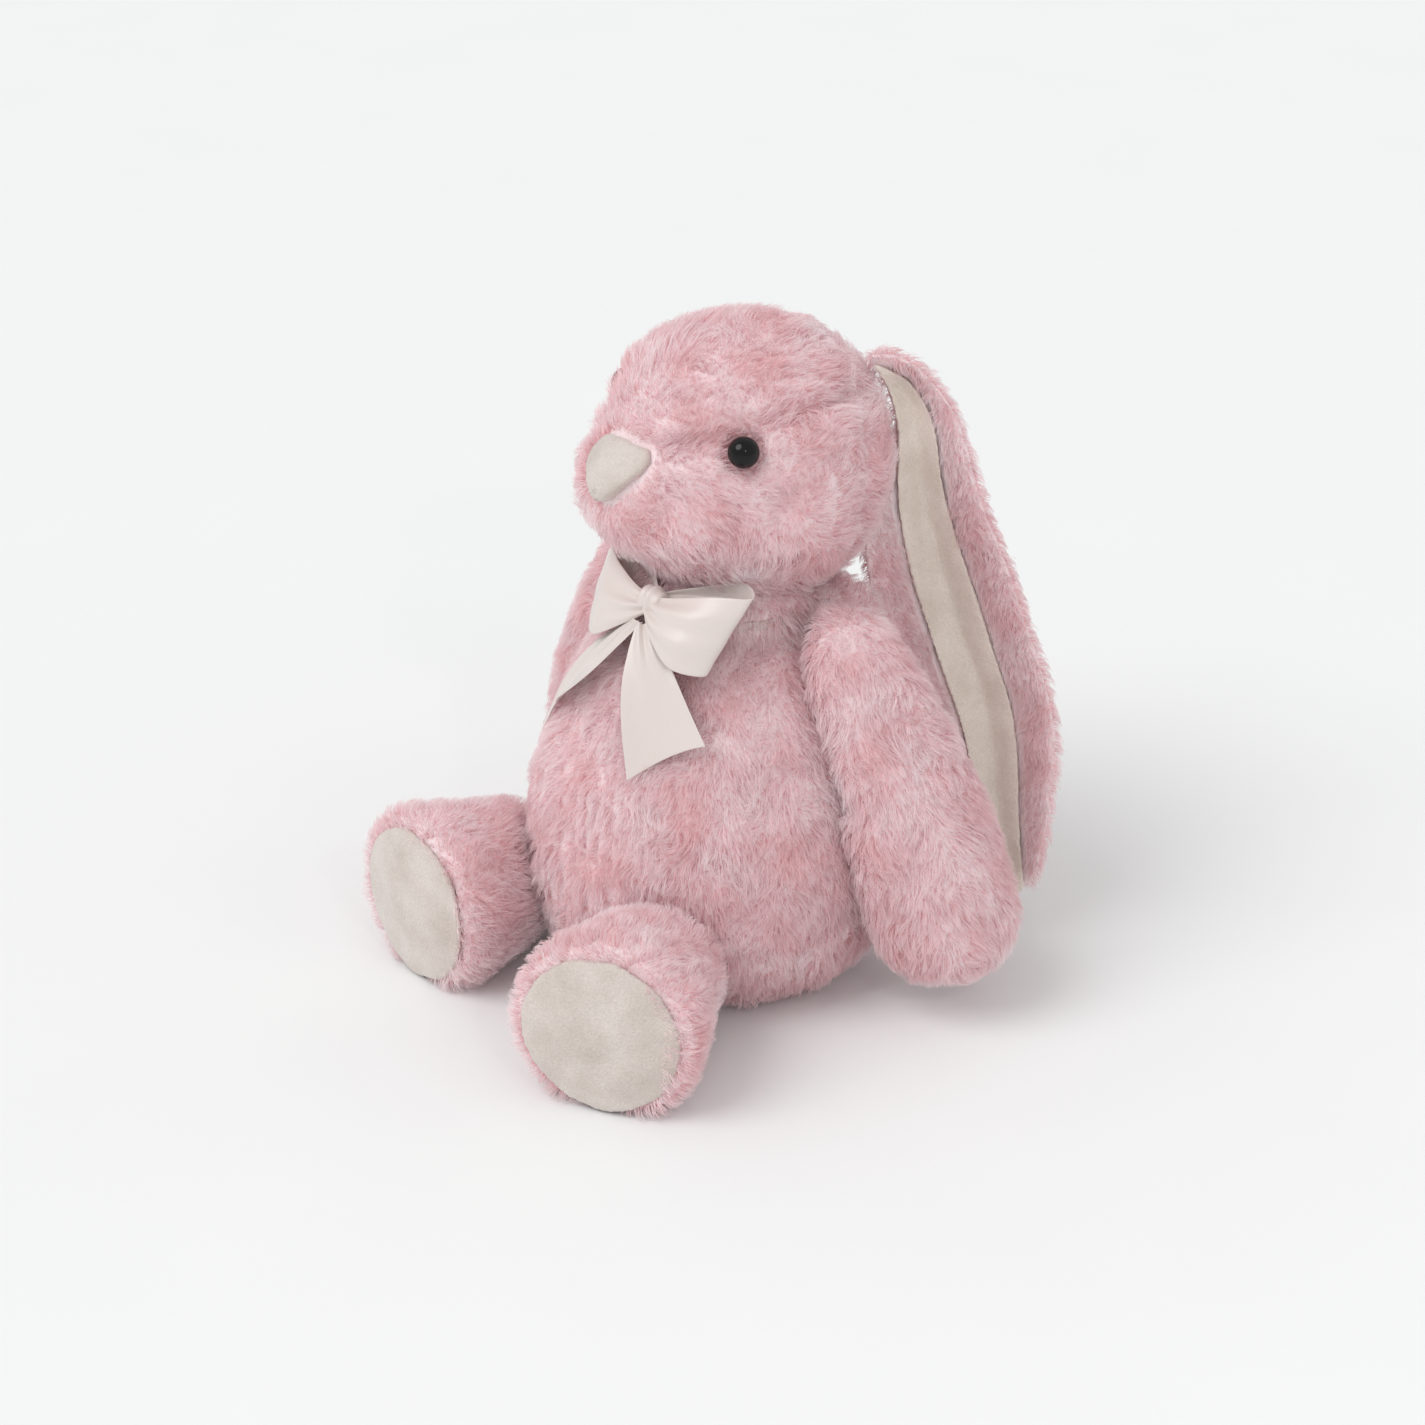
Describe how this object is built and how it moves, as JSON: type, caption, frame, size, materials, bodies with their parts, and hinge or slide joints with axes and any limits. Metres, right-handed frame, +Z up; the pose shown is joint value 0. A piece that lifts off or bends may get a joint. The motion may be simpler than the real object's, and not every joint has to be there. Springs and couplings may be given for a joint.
{
  "type": "stuffed bunny rabbit",
  "caption": "Seated plush rabbit with long hanging lined ears, a satin neck bow, velour soles and nose, and glossy domed eyes; head, ears, arms and legs swing.",
  "frame": {"origin": "on the floor, under the middle of the flat seat", "axes": "the rabbit faces -Y, its own left is +X, +Z is up"},
  "size_m": [0.2526, 0.2427, 0.2686],
  "materials": {
    "body_plush": "short plush pile",
    "seat_plush": "short plush pile, pressed flat",
    "head_plush": "short plush pile",
    "arm_plush": "short plush pile",
    "leg_plush": "short plush pile",
    "ear_plush": "short plush pile",
    "tail_plush": "short plush pile",
    "lining_velour": "velour, brushed",
    "sole_velour": "velour, brushed",
    "nose_velour": "velour, brushed",
    "satin_ribbon": "satin",
    "seam_thread": "sewing thread",
    "polyester_fill": "polyester fibre",
    "pouch_cloth": "thin woven cloth",
    "pellets": "small plastic beads",
    "eye_gloss": "gloss black",
    "eye_washer": "moulded"
  },
  "bodies": {
    "torso": {"torso_front_panel": "body_plush", "torso_back_panel": "body_plush", "seat_base_panel": "seat_plush", "torso_stuffing": "polyester_fill", "bean_bag_pouch": "pouch_cloth", "bean_bag_pellets": "pellets", "tail_cover": "tail_plush", "tail_stuffing": "polyester_fill"},
    "neck": {"neck_seam_thread": "seam_thread", "ribbon_neck_band": "satin_ribbon", "bow_knot": "satin_ribbon", "bow_loop_left": "satin_ribbon", "bow_loop_right": "satin_ribbon", "bow_tail_left": "satin_ribbon", "bow_tail_right": "satin_ribbon"},
    "head": {"head_gusset": "head_plush", "head_side_left": "head_plush", "head_side_right": "head_plush", "head_stuffing": "polyester_fill", "nose_patch": "nose_velour", "eye_left": "eye_gloss", "eye_right": "eye_gloss", "eye_washer_left": "eye_washer", "eye_washer_right": "eye_washer"},
    "ear_left": {"ear_left_shell": "ear_plush", "ear_left_lining": "lining_velour"},
    "arm_left": {"arm_left_outer_panel": "arm_plush", "arm_left_inner_panel": "arm_plush", "arm_left_stuffing": "polyester_fill"},
    "leg_left": {"leg_left_cover": "leg_plush", "leg_left_stuffing": "polyester_fill", "foot_sole_left": "sole_velour"},
    "ear_right": {"ear_right_shell": "ear_plush", "ear_right_lining": "lining_velour"},
    "arm_right": {"arm_right_outer_panel": "arm_plush", "arm_right_inner_panel": "arm_plush", "arm_right_stuffing": "polyester_fill"},
    "leg_right": {"leg_right_cover": "leg_plush", "leg_right_stuffing": "polyester_fill", "foot_sole_right": "sole_velour"}
  },
  "joints": [
    {"name": "neck_turn", "type": "hinge", "parent": "torso", "child": "neck", "pos_m": [0, 0.008, 0.156], "axis": [0, 0, 1], "range_deg": [-4, 4]},
    {"name": "neck_nod", "type": "hinge", "parent": "neck", "child": "head", "pos_m": [0, 0.008, 0.156], "axis": [1, 0, 0], "range_deg": [-2, 2]},
    {"name": "ear_left_lift", "type": "hinge", "parent": "head", "child": "ear_left", "pos_m": [0.033, 0.051, 0.25], "axis": [0.722, -0.6919, 0], "range_deg": [0, 80]},
    {"name": "ear_right_lift", "type": "hinge", "parent": "head", "child": "ear_right", "pos_m": [-0.033, 0.051, 0.25], "axis": [0.722, 0.6919, 0], "range_deg": [0, 80]},
    {"name": "arm_left_swing", "type": "hinge", "parent": "torso", "child": "arm_left", "pos_m": [0.058, 0.015, 0.15], "axis": [-0.7071, -0.7071, 0], "range_deg": [0, 45]},
    {"name": "arm_right_swing", "type": "hinge", "parent": "torso", "child": "arm_right", "pos_m": [-0.058, 0.015, 0.15], "axis": [-0.7071, 0.7071, 0], "range_deg": [0, 45]},
    {"name": "leg_left_lift", "type": "hinge", "parent": "torso", "child": "leg_left", "pos_m": [0.04476, -0.07142, 0.0645], "axis": [-0.891, -0.454, 0], "range_deg": [0, 25]},
    {"name": "leg_right_lift", "type": "hinge", "parent": "torso", "child": "leg_right", "pos_m": [-0.05821, -0.05367, 0.0645], "axis": [-0.9986, 0.0523, 0], "range_deg": [0, 25]}
  ]
}
